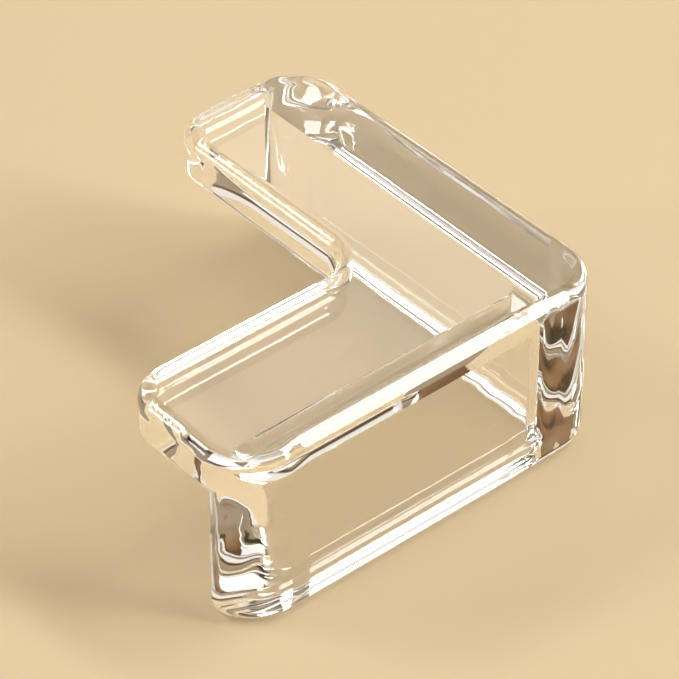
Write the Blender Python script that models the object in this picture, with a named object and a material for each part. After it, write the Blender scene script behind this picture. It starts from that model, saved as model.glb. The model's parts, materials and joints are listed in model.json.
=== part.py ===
"""Furniture corner protector, moulded in one piece of clear soft plastic.

An L-shaped plate lies on top of a table's corner, and a skirt hangs from its two outer edges in front
of the table's sides. Plate and skirt are one solid with every free edge rounded.

Metres, +Z up. The outer corner points to +X and -Y, the arms run to -X and to +Y, the plate is on top
and the skirt stands on z = 0. The origin is the centre of the footprint.
"""

import math

import bpy
import bmesh
from mathutils import Vector

# Driving sizes
ARM_LENGTH = 0.040
ARM_WIDTH = 0.0154
HEIGHT = 0.0176
PLATE_THICKNESS = 0.0050
SKIRT_WALL = 0.0053

# Corner radii in plan
OUTER_CORNER_RADIUS = 0.0050
ARM_END_OUTER_RADIUS = 0.0050
ARM_END_INNER_RADIUS = 0.0040
NOTCH_CORNER_RADIUS = 0.0030
SEAT_CORNER_RADIUS = 0.0020
SKIRT_END_RADIUS = 0.0016

# Directions in plan, from along the arm towards the way across it
ALONG = 0.0
ACROSS = math.radians(90)
TO_OUTER_CORNER = math.radians(225)
TO_OUTER_FACE = math.radians(270)
FULL_TURN = math.radians(360)

# Rounding of every free edge, limited by the thinner wall
EDGE_FILLET = 0.0014
FILLET_SHARE_OF_WALL = 0.45
LEAST_PLAN_RADIUS = 0.0002

# Facets
ARC_STEP = math.radians(11)
FILLET_RESOLUTION = 3
SHARP_ANGLE = math.radians(35)
WELD_DISTANCE = 0.000001
FLAT_ANGLE = math.radians(0.05)

# Clear soft plastic
PLASTIC_COLOUR = (0.86, 0.88, 0.87, 1.0)
PLASTIC_ROUGHNESS = 0.06
PLASTIC_IOR = 1.52

COLLECTION_NAME = "furniture_corner_protector"
CUTTER_COLLECTION_NAME = "joined_shapes"
GUARD_NAME = "corner_guard"


def clear_scene():
    """Remove every object that the scene holds."""
    for item in list(bpy.data.objects):
        bpy.data.objects.remove(item, do_unlink=True)


def new_collection(name):
    """Return a new collection linked to the scene."""
    collection = bpy.data.collections.new(name)
    bpy.context.scene.collection.children.link(collection)
    return collection


def clear_plastic():
    """Return the material of the whole part."""
    material = bpy.data.materials.new("clear_soft_plastic")
    material.use_nodes = True
    shader = material.node_tree.nodes["Principled BSDF"]
    shader.inputs["Base Color"].default_value = PLASTIC_COLOUR
    shader.inputs["Roughness"].default_value = PLASTIC_ROUGHNESS
    shader.inputs["Metallic"].default_value = 0.0
    shader.inputs["IOR"].default_value = PLASTIC_IOR
    shader.inputs["Transmission Weight"].default_value = 1.0
    return material


def edge_fillet():
    """Return the radius of the free edges that both walls leave room for."""
    return min(EDGE_FILLET, FILLET_SHARE_OF_WALL * min(PLATE_THICKNESS, SKIRT_WALL))


def arc(centre, radius, start, end):
    """Return points on an arc, both ends included, with a step that doesn't depend on the radius."""
    steps = max(1, round(abs(end - start) / ARC_STEP))
    angles = [start + (end - start) * step / steps for step in range(steps + 1)]
    return [centre + radius * Vector((math.cos(angle), math.sin(angle))) for angle in angles]


def inset_radius(radius, inset):
    """Return a convex corner's radius once the outline is moved into the material."""
    return max(radius - inset, LEAST_PLAN_RADIUS)


def skirt_end_blend():
    """Return the angle at which the round arm end turns into the skirt's inner edge, and that edge's centre.

    The angle is measured from the skirt's outer face, and the centre's place from the arm's far end.
    """
    reach = ARM_END_OUTER_RADIUS - SKIRT_END_RADIUS
    across = max(ARM_END_OUTER_RADIUS - (SKIRT_WALL - SKIRT_END_RADIUS), 0.0)
    angle = math.acos(across / reach)
    from_end = ARM_END_OUTER_RADIUS - math.sqrt(reach ** 2 - across ** 2)
    return angle, from_end


def half_of_outer_side(inset):
    """Return one arm's outer side, from the middle of the outer corner to the point where plate and skirt part.

    Points are (distance along the arm, distance across it), measured from the outer faces.
    """
    blend_angle, _ = skirt_end_blend()
    corner_centre = Vector((OUTER_CORNER_RADIUS, OUTER_CORNER_RADIUS))
    corner = arc(corner_centre, inset_radius(OUTER_CORNER_RADIUS, inset), TO_OUTER_CORNER, TO_OUTER_FACE)
    end_centre = Vector((ARM_LENGTH - ARM_END_OUTER_RADIUS, ARM_END_OUTER_RADIUS))
    end_radius = inset_radius(ARM_END_OUTER_RADIUS, inset)
    end = arc(end_centre, end_radius, TO_OUTER_FACE, TO_OUTER_FACE + blend_angle)
    return corner + end


def half_of_plate(inset):
    """Return one half of the plate's outline, from the outer corner's middle to the notch corner's middle."""
    blend_angle, _ = skirt_end_blend()
    end_centre = Vector((ARM_LENGTH - ARM_END_OUTER_RADIUS, ARM_END_OUTER_RADIUS))
    end_radius = inset_radius(ARM_END_OUTER_RADIUS, inset)
    rest_of_end = arc(end_centre, end_radius, TO_OUTER_FACE + blend_angle, FULL_TURN)
    inner_centre = Vector((ARM_LENGTH - ARM_END_INNER_RADIUS, ARM_WIDTH - ARM_END_INNER_RADIUS))
    inner_end = arc(inner_centre, inset_radius(ARM_END_INNER_RADIUS, inset), ALONG, ACROSS)
    notch_centre = Vector((ARM_WIDTH + NOTCH_CORNER_RADIUS, ARM_WIDTH + NOTCH_CORNER_RADIUS))
    notch = arc(notch_centre, NOTCH_CORNER_RADIUS + inset, TO_OUTER_FACE, TO_OUTER_CORNER)
    return half_of_outer_side(inset) + rest_of_end[1:] + inner_end + notch


def half_of_skirt(inset):
    """Return one half of the skirt's outline, from the outer corner's middle to the seat corner's middle."""
    blend_angle, from_end = skirt_end_blend()
    edge_centre = Vector((ARM_LENGTH - from_end, SKIRT_WALL - SKIRT_END_RADIUS))
    start = TO_OUTER_FACE + blend_angle
    inner_edge = arc(edge_centre, inset_radius(SKIRT_END_RADIUS, inset), start, FULL_TURN + ACROSS)
    seat_centre = Vector((SKIRT_WALL + SEAT_CORNER_RADIUS, SKIRT_WALL + SEAT_CORNER_RADIUS))
    seat = arc(seat_centre, SEAT_CORNER_RADIUS + inset, TO_OUTER_FACE, TO_OUTER_CORNER)
    return half_of_outer_side(inset) + inner_edge[1:] + seat


def whole_outline(half):
    """Return the closed outline whose other half is the mirror image about the L's diagonal."""
    mirrored = [Vector((point.y, point.x)) for point in reversed(half[1:-1])]
    return half + mirrored


def place(point):
    """Turn (along the front arm, across it) into the part's X and Y."""
    centre = ARM_LENGTH / 2
    return (centre - point.x, point.y - centre)


def rounded_prism(name, half, bottom, top, collection):
    """Return a mesh object: the outline extruded from bottom to top, with its end edges rounded."""
    fillet = edge_fillet()
    outline = [place(point) for point in whole_outline(half)]
    curve = bpy.data.curves.new(name + "_outline", "CURVE")
    curve.dimensions = "2D"
    curve.fill_mode = "BOTH"
    curve.extrude = (top - bottom) / 2 - fillet
    curve.bevel_depth = fillet
    curve.bevel_resolution = FILLET_RESOLUTION
    spline = curve.splines.new("POLY")
    spline.points.add(len(outline) - 1)
    for point, (x, y) in zip(spline.points, outline):
        point.co = (x, y, 0.0, 1.0)
    spline.use_cyclic_u = True
    outline_object = bpy.data.objects.new(name + "_outline", curve)
    outline_object.location.z = (top + bottom) / 2
    collection.objects.link(outline_object)
    bpy.context.view_layer.update()
    evaluated = outline_object.evaluated_get(bpy.context.evaluated_depsgraph_get())
    mesh = bpy.data.meshes.new_from_object(evaluated)
    solid = bpy.data.objects.new(name, mesh)
    solid.matrix_world = outline_object.matrix_world.copy()
    collection.objects.link(solid)
    bpy.data.objects.remove(outline_object, do_unlink=True)
    weld_caps(mesh)
    return solid


def weld_caps(mesh):
    """Join the loose caps to the sides, merge each cap into one face and turn all faces outwards."""
    shape = bmesh.new()
    shape.from_mesh(mesh)
    bmesh.ops.remove_doubles(shape, verts=shape.verts, dist=WELD_DISTANCE)
    bmesh.ops.dissolve_limit(shape, angle_limit=FLAT_ANGLE, verts=shape.verts, edges=shape.edges)
    bmesh.ops.recalc_face_normals(shape, faces=shape.faces)
    shape.to_mesh(mesh)
    shape.free()


def join(target, added):
    """Unite a second solid with the target by a Boolean modifier, and keep that solid as a guide."""
    added.hide_render = True
    added.display_type = "WIRE"
    union = target.modifiers.new("join_" + added.name, "BOOLEAN")
    union.operation = "UNION"
    union.solver = "EXACT"
    union.object = added


def build():
    """Build the corner protector."""
    clear_scene()
    parts = new_collection(COLLECTION_NAME)
    shapes = new_collection(CUTTER_COLLECTION_NAME)
    fillet = edge_fillet()
    guard = rounded_prism(GUARD_NAME, half_of_plate(fillet), HEIGHT - PLATE_THICKNESS, HEIGHT, parts)
    skirt = rounded_prism("skirt", half_of_skirt(fillet), 0.0, HEIGHT, shapes)
    join(guard, skirt)
    guard.data.materials.append(clear_plastic())
    guard.data.shade_smooth()
    guard.data.set_sharp_from_angle(angle=SHARP_ANGLE)


build()
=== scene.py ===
"""Looks of the clear corner guard: its finely rounded body, its soft-PVC finish, and a plain pale studio.

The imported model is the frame. The guard's solid is replaced by a body with the same form, rounded finely
enough for clear plastic, where every facet would show. All lengths are metres, +Z up.
"""

import json
import logging
import math
from dataclasses import dataclass, field
from enum import Enum
from typing import Any

import bmesh
import bpy
from mathutils import Matrix, Vector

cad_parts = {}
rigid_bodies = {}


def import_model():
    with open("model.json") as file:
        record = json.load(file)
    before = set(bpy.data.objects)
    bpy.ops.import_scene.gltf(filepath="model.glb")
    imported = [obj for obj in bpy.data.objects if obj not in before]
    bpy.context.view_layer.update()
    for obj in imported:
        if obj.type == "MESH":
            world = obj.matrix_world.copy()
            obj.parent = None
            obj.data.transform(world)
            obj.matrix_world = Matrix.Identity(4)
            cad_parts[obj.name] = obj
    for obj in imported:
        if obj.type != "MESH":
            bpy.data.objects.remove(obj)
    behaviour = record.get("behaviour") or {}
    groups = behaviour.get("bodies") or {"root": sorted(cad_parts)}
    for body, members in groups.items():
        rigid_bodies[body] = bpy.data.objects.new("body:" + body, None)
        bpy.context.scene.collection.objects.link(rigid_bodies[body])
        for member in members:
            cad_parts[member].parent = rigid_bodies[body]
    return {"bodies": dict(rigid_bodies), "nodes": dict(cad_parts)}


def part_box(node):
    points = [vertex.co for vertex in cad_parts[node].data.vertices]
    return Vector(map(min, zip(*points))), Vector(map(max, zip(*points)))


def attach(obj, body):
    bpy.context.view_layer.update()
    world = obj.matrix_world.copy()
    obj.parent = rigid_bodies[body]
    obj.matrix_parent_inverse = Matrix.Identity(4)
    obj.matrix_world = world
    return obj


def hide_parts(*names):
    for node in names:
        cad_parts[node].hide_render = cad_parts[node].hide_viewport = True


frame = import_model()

LOG = logging.getLogger("corner_guard")

GUARD_NODE = "corner_guard"
GUARD_BODY = "root"

MILLIMETRE = 0.001
WELD_DISTANCE = 0.000001
FLAT_ANGLE = math.radians(0.02)
SHARP_ANGLE = math.radians(35)
FLAT_FACE_WEIGHT = 100

# Directions in plan, in degrees from along the front arm towards the way across it
ALONG = 0
ACROSS = 90
TO_OUTER_CORNER = 225
TO_OUTER_FACE = 270
FULL_TURN = 360

Outline = list[Vector]
Colour = tuple[float, float, float, float]


def linear(hex_colour: str) -> Colour:
    """Turn an sRGB hex colour into the linear colour that a shader reads.

    Args:
        hex_colour: Six hex digits after a hash, such as "#F2EDE4".

    Returns:
        Red, green, blue and an alpha of 1, all linear.
    """
    channels = [int(hex_colour[place:place + 2], 16) / 255 for place in (1, 3, 5)]
    red, green, blue = (c / 12.92 if c <= 0.04045 else ((c + 0.055) / 1.055) ** 2.4 for c in channels)
    return (red, green, blue, 1.0)


def add_node(
    tree: bpy.types.NodeTree,
    kind: str,
    settings: dict[str, Any] | None = None,
    inputs: dict[str | int, Any] | None = None,
) -> bpy.types.Node:
    """Add a node, set its properties, and fill or link its inputs.

    Args:
        tree: The node tree that gets the node.
        kind: Blender's name of the node type.
        settings: Property names and their values.
        inputs: Input names or numbers, each with a plain value or with another node's output socket.

    Returns:
        The new node.
    """
    node = tree.nodes.new(kind)
    for name, value in (settings or {}).items():
        setattr(node, name, value)
    for name, value in (inputs or {}).items():
        if isinstance(value, bpy.types.NodeSocket):
            tree.links.new(value, node.inputs[name])
        else:
            node.inputs[name].default_value = value
    return node


def new_material(name: str) -> tuple[bpy.types.Material, bpy.types.NodeTree]:
    """Make a material with an empty node tree.

    Args:
        name: The material's name.

    Returns:
        The material, and its node tree.
    """
    material = bpy.data.materials.new(name)
    material.use_nodes = True
    material.node_tree.nodes.clear()
    return material, material.node_tree


@dataclass(frozen=True)
class ClearSoftPvc:
    """Clear plasticised PVC, injection moulded in a polished mould.

    The eye gets a water-clear, glossy body with next to no tint and a trace of haze in patches. Its skin
    isn't quite flat. It sinks a little as the thick walls shrink, keeps faint lines along the flow of the
    melt, and has a very fine orange peel. Where walls meet, the plastic shrinks most and swirls.
    """

    # The slightest warm cast, in patches about as wide as an arm
    clear_tint: str = "#FFFFFE"
    thick_tint: str = "#FDFCFA"
    tint_patch_mm: float = 18.0

    # Plasticised PVC refracts at 1.53
    ior: float = 1.53

    # A ray goes straight on from its third reflection, because the renderer stops it at the fourth, which
    # would leave black patches deep in the body
    most_reflections: int = 3

    # A polished mould leaves a mirror finish, and plasticiser clouds it in spots of a few millimetres. The
    # haze starts at one value of the noise and is full at the other
    haze_patch_mm: float = 6.0
    haze_starts: float = 0.35
    haze_is_full: float = 0.7
    least_roughness: float = 0.0
    most_roughness: float = 0.035

    # Sink marks are about two walls wide and a few hundredths of a millimetre deep
    sink_wave_mm: float = 9.0
    sink_depth_mm: float = 0.035

    # Flow lines lie half a wall apart and run along a whole arm
    flow_line_mm: float = 2.5
    flow_run_mm: float = 30.0
    flow_depth_mm: float = 0.04

    # Orange peel of about 1 mm, a thousandth as deep
    peel_grain_mm: float = 0.9
    peel_depth_mm: float = 0.0012

    # Swirls of nearly a wall's width, deeper than real ones, so that they show at the render's size. Each
    # spot is x and y in millimetres and its share of the depth, full up to near and gone from far on
    swirl_mm: float = 4.0
    swirl_depth_mm: float = 0.45
    swirl_spots: tuple[tuple[float, float, float], ...] = (
        (18.5, -18.5, 1.0), (-19.2, -18.5, 1.0), (18.5, 19.2, 0.35))
    swirl_near_mm: float = 4.5
    swirl_far_mm: float = 6.5

    def material(self) -> bpy.types.Material:
        """Build the material.

        Returns:
            A material with one Principled shader, whose tint, roughness and relief come from noise.
        """
        material, tree = new_material("clear_soft_pvc")
        place = add_node(tree, "ShaderNodeTexCoord").outputs["Object"]
        tint = self.noise(tree, place, self.tint_patch_mm, 1.0)
        tint_mix = add_node(tree, "ShaderNodeMix", {"data_type": "RGBA"}, {
            "Factor": tint, 6: linear(self.clear_tint), 7: linear(self.thick_tint)})
        haze = self.noise(tree, place, self.haze_patch_mm, 2.0)
        roughness = add_node(tree, "ShaderNodeMapRange", None, {
            "Value": haze, "From Min": self.haze_starts, "From Max": self.haze_is_full,
            "To Min": self.least_roughness, "To Max": self.most_roughness})
        sink = add_node(tree, "ShaderNodeBump", None, {
            "Strength": 1.0, "Distance": self.sink_depth_mm * MILLIMETRE,
            "Height": self.noise(tree, place, self.sink_wave_mm, 0.0)})
        run = self.flow_line_mm / self.flow_run_mm
        drawn = add_node(tree, "ShaderNodeVectorMath", {"operation": "MULTIPLY"}, {
            0: place, 1: (run, run, 1.0)})
        flow = add_node(tree, "ShaderNodeBump", None, {
            "Strength": 1.0, "Distance": self.flow_depth_mm * MILLIMETRE,
            "Height": self.noise(tree, drawn.outputs[0], self.flow_line_mm, 1.0),
            "Normal": sink.outputs["Normal"]})
        peel = add_node(tree, "ShaderNodeBump", None, {
            "Strength": 1.0, "Distance": self.peel_depth_mm * MILLIMETRE,
            "Height": self.noise(tree, place, self.peel_grain_mm, 2.0), "Normal": flow.outputs["Normal"]})
        swirl = add_node(tree, "ShaderNodeBump", None, {
            "Strength": 1.0, "Distance": self.swirl_depth_mm * MILLIMETRE,
            "Height": self.swirls(tree, place), "Normal": peel.outputs["Normal"]})
        reflections = add_node(tree, "ShaderNodeLightPath").outputs["Glossy Depth"]
        ends = add_node(tree, "ShaderNodeMath", {"operation": "GREATER_THAN"}, {
            0: reflections, 1: self.most_reflections - 0.5})
        index = add_node(tree, "ShaderNodeMix", {"data_type": "FLOAT"}, {
            "Factor": ends.outputs[0], 2: self.ior, 3: 1.0})
        shader = add_node(tree, "ShaderNodeBsdfPrincipled", None, {
            "Base Color": tint_mix.outputs[2], "Roughness": roughness.outputs["Result"],
            "IOR": index.outputs[0], "Transmission Weight": 1.0, "Normal": swirl.outputs["Normal"]})
        add_node(tree, "ShaderNodeOutputMaterial", None, {"Surface": shader.outputs["BSDF"]})
        return material

    def swirls(self, tree: bpy.types.NodeTree, place: bpy.types.NodeSocket) -> bpy.types.NodeSocket:
        """Add the swirls of the spots where walls meet.

        Args:
            tree: The material's node tree.
            place: The coordinates to read, in metres.

        Returns:
            The height of the swirls, which fades to 0 away from those spots and towards level faces.
        """
        plan = add_node(tree, "ShaderNodeVectorMath", {"operation": "MULTIPLY"}, {
            0: place, 1: (1.0, 1.0, 0.0)})
        share: bpy.types.NodeSocket | float = 0.0
        for x, y, full_share in self.swirl_spots:
            apart = add_node(tree, "ShaderNodeVectorMath", {"operation": "DISTANCE"}, {
                0: plan.outputs[0], 1: (x * MILLIMETRE, y * MILLIMETRE, 0.0)}).outputs["Value"]
            near = add_node(tree, "ShaderNodeMapRange", {"interpolation_type": "SMOOTHSTEP"}, {
                "Value": apart, "From Min": self.swirl_near_mm * MILLIMETRE,
                "From Max": self.swirl_far_mm * MILLIMETRE, "To Min": full_share, "To Max": 0.0})
            share = add_node(tree, "ShaderNodeMath", {"operation": "MAXIMUM"}, {
                0: share, 1: near.outputs["Result"]}).outputs[0]
        normal = add_node(tree, "ShaderNodeTexCoord").outputs["Normal"]
        up = add_node(tree, "ShaderNodeSeparateXYZ", None, {"Vector": normal}).outputs["Z"]
        level = add_node(tree, "ShaderNodeMath", {"operation": "MULTIPLY"}, {0: up, 1: up})
        upright = add_node(tree, "ShaderNodeMath", {"operation": "SUBTRACT"}, {0: 1.0, 1: level.outputs[0]})
        share_here = add_node(tree, "ShaderNodeMath", {"operation": "MULTIPLY"}, {
            0: share, 1: upright.outputs[0]})
        return add_node(tree, "ShaderNodeMath", {"operation": "MULTIPLY"}, {
            0: self.noise(tree, place, self.swirl_mm, 0.0), 1: share_here.outputs[0]}).outputs[0]

    @staticmethod
    def noise(
        tree: bpy.types.NodeTree, place: bpy.types.NodeSocket, feature_mm: float, detail: float
    ) -> bpy.types.NodeSocket:
        """Add a noise whose features have a real size.

        Args:
            tree: The material's node tree.
            place: The coordinates to read, in metres.
            feature_mm: Size of one feature, in millimetres.
            detail: Octaves of finer noise on top of it.

        Returns:
            The noise's value, from 0 to 1.
        """
        texture = add_node(tree, "ShaderNodeTexNoise", None, {
            "Vector": place, "Scale": 1 / (feature_mm * MILLIMETRE), "Detail": detail})
        return texture.outputs["Fac"]


@dataclass(frozen=True)
class PaleFloor:
    """Matt pale card, plain and without a pattern, whose dull face gives almost no sheen."""

    colour: str = "#E1CCA6"
    roughness: float = 0.9
    sheen: float = 0.25
    half_width: float = 1.4
    gap_mm: float = 0.02

    def build(self) -> bpy.types.Object:
        """Lay the floor a hair under the guard's skirt, so the two faces don't coincide.

        Returns:
            The floor.
        """
        shape = bmesh.new()
        bmesh.ops.create_grid(shape, x_segments=1, y_segments=1, size=self.half_width)
        mesh = bpy.data.meshes.new("floor")
        shape.to_mesh(mesh)
        shape.free()
        floor = bpy.data.objects.new("floor", mesh)
        floor.location.z = -self.gap_mm * MILLIMETRE
        bpy.context.scene.collection.objects.link(floor)
        material, tree = new_material("pale_floor")
        shader = add_node(tree, "ShaderNodeBsdfPrincipled", None, {
            "Base Color": linear(self.colour), "Roughness": self.roughness,
            "Specular IOR Level": self.sheen})
        add_node(tree, "ShaderNodeOutputMaterial", None, {"Surface": shader.outputs["BSDF"]})
        mesh.materials.append(material)
        return floor


@dataclass
class CornerGuard:
    """The moulded guard: an L-shaped plate, and a skirt along its two outer edges, as one closed body.

    Outlines are drawn as (distance along the front arm, distance across it) from the two outer faces,
    one half at a time. The other half is the mirror image about the L's diagonal. Each outline lies one
    edge fillet inside the finished side. The skirt's top drop is a share of the edge fillet.
    """

    arm_width: float = 0.0154
    plate_thickness: float = 0.0050
    skirt_wall: float = 0.0053
    outer_corner_radius: float = 0.0050
    arm_end_outer_radius: float = 0.0050
    arm_end_inner_radius: float = 0.0040
    notch_corner_radius: float = 0.0030
    seat_corner_radius: float = 0.0020
    skirt_end_radius: float = 0.0016
    edge_fillet: float = 0.0014
    skirt_top_drop: float = 0.7
    arc_step: float = math.radians(2)
    fillet_resolution: int = 23
    finish: ClearSoftPvc = field(default_factory=ClearSoftPvc)
    arm_length: float = field(init=False)
    height: float = field(init=False)

    def __post_init__(self) -> None:
        """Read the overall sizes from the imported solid."""
        low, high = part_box(GUARD_NODE)
        self.arm_length = high.x - low.x
        self.height = high.z - low.z

    def arc(self, centre: Vector, radius: float, start: float, end: float) -> Outline:
        """Return points on an arc.

        Args:
            centre: The arc's centre.
            radius: The arc's radius.
            start: First angle in degrees, from the arm's direction towards the way across it.
            end: Last angle in degrees.

        Returns:
            Points from start to end, both included.
        """
        first, last = math.radians(start), math.radians(end)
        steps = max(1, round(abs(last - first) / self.arc_step))
        angles = [first + (last - first) * step / steps for step in range(steps + 1)]
        return [centre + radius * Vector((math.cos(angle), math.sin(angle))) for angle in angles]

    def blend(self) -> tuple[float, float]:
        """Work out where the round arm end turns into the skirt's inner edge.

        Returns:
            The angle in degrees from the skirt's outer face, and the inner edge's centre from the far end.
        """
        reach = self.arm_end_outer_radius - self.skirt_end_radius
        across = max(self.arm_end_outer_radius - (self.skirt_wall - self.skirt_end_radius), 0.0)
        from_end = self.arm_end_outer_radius - math.sqrt(reach ** 2 - across ** 2)
        return math.degrees(math.acos(across / reach)), from_end

    def outer_side(self) -> Outline:
        """Draw the side that plate and skirt share.

        Returns:
            Points from the outer corner's middle to where plate and skirt part.
        """
        inset = self.edge_fillet
        corner_centre = Vector((self.outer_corner_radius, self.outer_corner_radius))
        end_centre = Vector((self.arm_length - self.arm_end_outer_radius, self.arm_end_outer_radius))
        corner = self.arc(corner_centre, self.outer_corner_radius - inset, TO_OUTER_CORNER, TO_OUTER_FACE)
        end_angle = TO_OUTER_FACE + self.blend()[0]
        end = self.arc(end_centre, self.arm_end_outer_radius - inset, TO_OUTER_FACE, end_angle)
        return corner + end

    def plate_half(self) -> Outline:
        """Draw half of the plate's outline.

        Returns:
            Points from the outer corner's middle to the notch corner's middle.
        """
        inset = self.edge_fillet
        end_centre = Vector((self.arm_length - self.arm_end_outer_radius, self.arm_end_outer_radius))
        end_angle = TO_OUTER_FACE + self.blend()[0]
        end = self.arc(end_centre, self.arm_end_outer_radius - inset, end_angle, FULL_TURN)
        inner_centre = Vector((
            self.arm_length - self.arm_end_inner_radius, self.arm_width - self.arm_end_inner_radius))
        inner = self.arc(inner_centre, self.arm_end_inner_radius - inset, ALONG, ACROSS)
        notch_centre = Vector((1, 1)) * (self.arm_width + self.notch_corner_radius)
        notch = self.arc(notch_centre, self.notch_corner_radius + inset, TO_OUTER_FACE, TO_OUTER_CORNER)
        return self.outer_side() + end[1:] + inner + notch

    def skirt_half(self) -> Outline:
        """Draw half of the skirt's outline.

        Returns:
            Points from the outer corner's middle to the seat corner's middle.
        """
        inset = self.edge_fillet
        angle, from_end = self.blend()
        edge_centre = Vector((self.arm_length - from_end, self.skirt_wall - self.skirt_end_radius))
        edge_radius = self.skirt_end_radius - inset
        edge = self.arc(edge_centre, edge_radius, TO_OUTER_FACE + angle, FULL_TURN + ACROSS)
        seat_centre = Vector((1, 1)) * (self.skirt_wall + self.seat_corner_radius)
        seat = self.arc(seat_centre, self.seat_corner_radius + inset, TO_OUTER_FACE, TO_OUTER_CORNER)
        return self.outer_side() + edge[1:] + seat

    def prism(self, name: str, half: Outline, bottom: float, top: float) -> bpy.types.Object:
        """Extrude an outline, with its upper and lower edges rounded.

        Args:
            name: The object's name.
            half: Half of the outline, one fillet radius inside the finished side.
            bottom: Height of the lower face.
            top: Height of the upper face.

        Returns:
            The closed body.
        """
        whole = half + [Vector((point.y, point.x)) for point in reversed(half[1:-1])]
        middle = self.arm_length / 2
        curve = bpy.data.curves.new(name, "CURVE")
        curve.dimensions = "2D"
        curve.fill_mode = "BOTH"
        curve.extrude = (top - bottom) / 2 - self.edge_fillet
        curve.bevel_depth = self.edge_fillet
        curve.bevel_resolution = self.fillet_resolution
        spline = curve.splines.new("POLY")
        spline.points.add(len(whole) - 1)
        for spline_point, point in zip(spline.points, whole):
            spline_point.co = (middle - point.x, point.y - middle, 0.0, 1.0)
        spline.use_cyclic_u = True
        drawn = bpy.data.objects.new(name, curve)
        bpy.context.scene.collection.objects.link(drawn)
        bpy.context.view_layer.update()
        mesh = bpy.data.meshes.new_from_object(drawn.evaluated_get(bpy.context.evaluated_depsgraph_get()))
        bpy.data.objects.remove(drawn, do_unlink=True)
        self.weld(mesh)
        body = bpy.data.objects.new(name, mesh)
        body.location.z = (top + bottom) / 2
        bpy.context.scene.collection.objects.link(body)
        return body

    @staticmethod
    def weld(mesh: bpy.types.Mesh) -> None:
        """Join a drawn body's loose caps to its sides, make each cap one face, and turn the faces out.

        Args:
            mesh: The drawn body's mesh, which is changed in place.
        """
        shape = bmesh.new()
        shape.from_mesh(mesh)
        bmesh.ops.remove_doubles(shape, verts=shape.verts, dist=WELD_DISTANCE)
        bmesh.ops.dissolve_limit(shape, angle_limit=FLAT_ANGLE, verts=shape.verts, edges=shape.edges)
        bmesh.ops.recalc_face_normals(shape, faces=shape.faces)
        shape.to_mesh(mesh)
        shape.free()

    def build(self) -> bpy.types.Object:
        """Build the guard's body, dress it and put it in the solid's place.

        The skirt ends a little below the plate's top, so the top's rounding is the plate's alone.

        Returns:
            The finished guard.
        """
        plate_bottom = self.height - self.plate_thickness
        skirt_top = self.height - self.skirt_top_drop * self.edge_fillet
        guard = self.prism("guard_body", self.plate_half(), plate_bottom, self.height)
        skirt = self.prism("skirt_body", self.skirt_half(), 0.0, skirt_top)
        union = guard.modifiers.new("join_skirt", "BOOLEAN")
        union.operation = "UNION"
        union.solver = "EXACT"
        union.object = skirt
        bpy.context.view_layer.update()
        joined = bpy.data.meshes.new_from_object(guard.evaluated_get(bpy.context.evaluated_depsgraph_get()))
        joined.transform(guard.matrix_world)
        guard.modifiers.clear()
        guard.data = joined
        guard.location = (0.0, 0.0, 0.0)
        bpy.data.objects.remove(skirt, do_unlink=True)
        self.smooth(guard)
        joined.materials.clear()
        joined.materials.append(self.finish.material())
        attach(guard, GUARD_BODY)
        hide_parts(GUARD_NODE)
        LOG.info("guard body: %d faces", len(joined.polygons))
        return guard

    @staticmethod
    def smooth(guard: bpy.types.Object) -> None:
        """Shade the roundings smooth, and keep the flat faces truly flat by area-weighted normals.

        Args:
            guard: The guard's body.
        """
        guard.data.shade_smooth()
        guard.data.set_sharp_from_angle(angle=SHARP_ANGLE)
        weighted = guard.modifiers.new("flat_faces", "WEIGHTED_NORMAL")
        weighted.mode = "FACE_AREA"
        weighted.weight = FLAT_FACE_WEIGHT
        weighted.keep_sharp = True


class LampPlace(Enum):
    """Soft boxes of the studio: direction from the guard, the way the box is long, its size, and radiance.

    The two at the front right stand where the rounding of the front's top edge mirrors them as one even
    strip. The dim sheen panel stands where the plate's top mirrors it, so the plate isn't dull.
    """

    FRONT_RIGHT_HIGH = ((0.52, -0.29, 0.80), (0.0, 0.94, 0.34), (0.14, 0.70), 11.5)
    FRONT_RIGHT_LOW = ((0.52, -0.76, 0.39), (0.0, 0.46, 0.89), (0.14, 0.70), 11.5)
    BACK_LEFT_HIGH = ((-0.45, 0.59, 0.68), (0.83, 0.0, 0.55), (0.14, 0.24), 12.0)
    BACK_LEFT_LOW = ((-0.76, 0.59, 0.28), (0.35, 0.0, 0.94), (0.14, 0.20), 12.0)
    BACK_RIGHT_SHEEN = ((0.47, 0.58, 0.66), (0.80, 0.0, -0.60), (0.34, 0.60), 0.9)
    OVERHEAD = ((-0.25, 0.0, 0.97), (1.0, 0.0, 0.0), (0.50, 0.50), 1.1)


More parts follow.
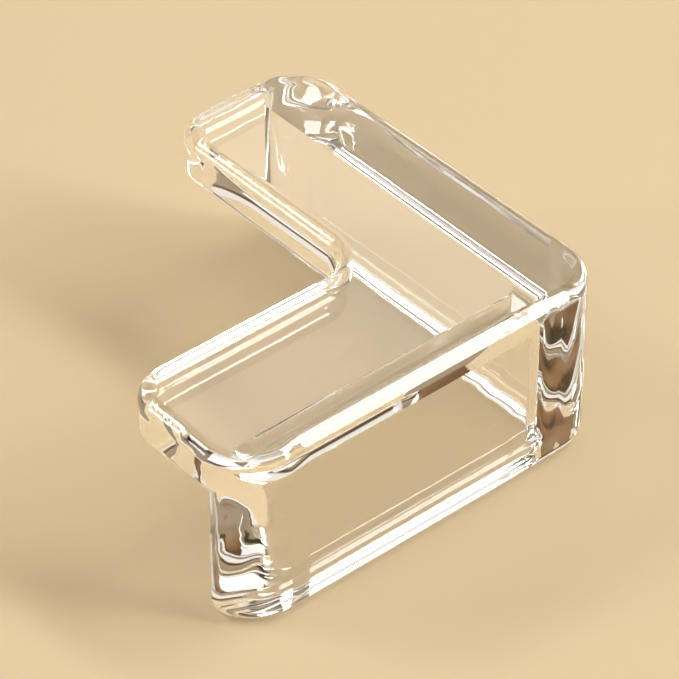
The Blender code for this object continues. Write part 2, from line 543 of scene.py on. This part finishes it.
@dataclass(frozen=True)
class Studio:
    """Plain soft light: soft boxes, a pale wall all round, a dim ceiling above it, and two dark flags.

    The flags are the dark bands that a photographer hangs round clear things, so that their edges show.
    The surround's numbers are the height of a direction, from 0 at the horizon to 1 overhead.
    """

    lamp_distance: float = 0.9
    surround: tuple[tuple[float, str], ...] = (
        (0.30, "#F4EFE6"), (0.34, "#8F6843"), (0.37, "#2E2115"), (0.40, "#2E2115"), (0.43, "#8F6843"),
        (0.48, "#A3947E"), (0.71, "#94866F"), (0.74, "#2E2115"), (0.80, "#2E2115"), (0.83, "#8E826F"))

    def build(self) -> None:
        """Hang the soft boxes and set the surround."""
        for place in LampPlace:
            self.hang(place)
        world = bpy.data.worlds.new("studio")
        world.use_nodes = True
        world.node_tree.nodes.clear()
        tree = world.node_tree
        towards = add_node(tree, "ShaderNodeTexCoord").outputs["Generated"]
        height = add_node(tree, "ShaderNodeSeparateXYZ", None, {"Vector": towards}).outputs["Z"]
        ramp = add_node(tree, "ShaderNodeValToRGB", None, {"Fac": height})
        steps = ramp.color_ramp.elements
        steps.remove(steps[0])
        for place, hex_colour in self.surround:
            steps.new(place).color = linear(hex_colour)
        steps.remove(steps[-1])
        light = add_node(tree, "ShaderNodeBackground", None, {
            "Color": ramp.outputs["Color"], "Strength": 1.0})
        add_node(tree, "ShaderNodeOutputWorld", None, {"Surface": light.outputs["Background"]})
        bpy.context.scene.world = world

    def hang(self, place: LampPlace) -> None:
        """Hang one soft box, facing the guard.

        Args:
            place: Which soft box.
        """
        direction, along, (width, height), radiance = place.value
        lamp = bpy.data.lights.new(place.name.lower() + "_soft_box", "AREA")
        lamp.shape = "RECTANGLE"
        lamp.size = width
        lamp.size_y = height
        lamp.energy = radiance * width * height * math.pi
        box = bpy.data.objects.new(lamp.name, lamp)
        towards = Vector(direction).normalized()
        across = Vector(along).cross(towards).normalized()
        box.matrix_world = Matrix((across, towards.cross(across), towards)).transposed().to_4x4()
        box.location = towards * self.lamp_distance
        bpy.context.scene.collection.objects.link(box)


@dataclass(frozen=True)
class PhotoCamera:
    """A camera at the photograph's viewing angle, with the photograph's weak perspective."""

    azimuth: float = math.radians(-40.6)
    elevation: float = math.radians(39.5)
    distance: float = 0.3296
    aim: tuple[float, float, float] = (0.00042, -0.00809, 0.01315)
    focal_pixels: float = 4000.0
    frame_pixels: float = 679.0

    def build(self) -> bpy.types.Object:
        """Set the scene's camera.

        Returns:
            The camera.
        """
        lens = bpy.data.cameras.new("photo_camera")
        lens.lens = lens.sensor_width * self.focal_pixels / self.frame_pixels
        lens.clip_start = self.distance / 10
        camera = bpy.data.objects.new("photo_camera", lens)
        back = Vector((
            math.sin(self.azimuth) * math.cos(self.elevation),
            -math.cos(self.azimuth) * math.cos(self.elevation),
            math.sin(self.elevation)))
        camera.location = Vector(self.aim) + back * self.distance
        camera.rotation_mode = "QUATERNION"
        camera.rotation_quaternion = (-back).to_track_quat("-Z", "Y")
        bpy.context.scene.collection.objects.link(camera)
        bpy.context.scene.camera = camera
        return camera


def clear_defaults() -> None:
    """Remove the objects of Blender's start-up scene, and keep the frame's."""
    kept = {*frame["bodies"].values(), *frame["nodes"].values()}
    for item in list(bpy.data.objects):
        if item not in kept:
            bpy.data.objects.remove(item, do_unlink=True)


def main() -> None:
    """Build the guard, the studio and the camera."""
    logging.basicConfig(level=logging.INFO, format="%(name)s: %(message)s")
    clear_defaults()
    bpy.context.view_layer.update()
    bpy.context.scene.view_settings.view_transform = "Standard"
    guard = CornerGuard().build()
    LOG.info("built %s", guard.name)
    PaleFloor().build()
    LOG.info("laid the floor")
    Studio().build()
    LOG.info("lit the studio")
    PhotoCamera().build()
    LOG.info("set the camera")


if __name__ == "__main__":
    main()
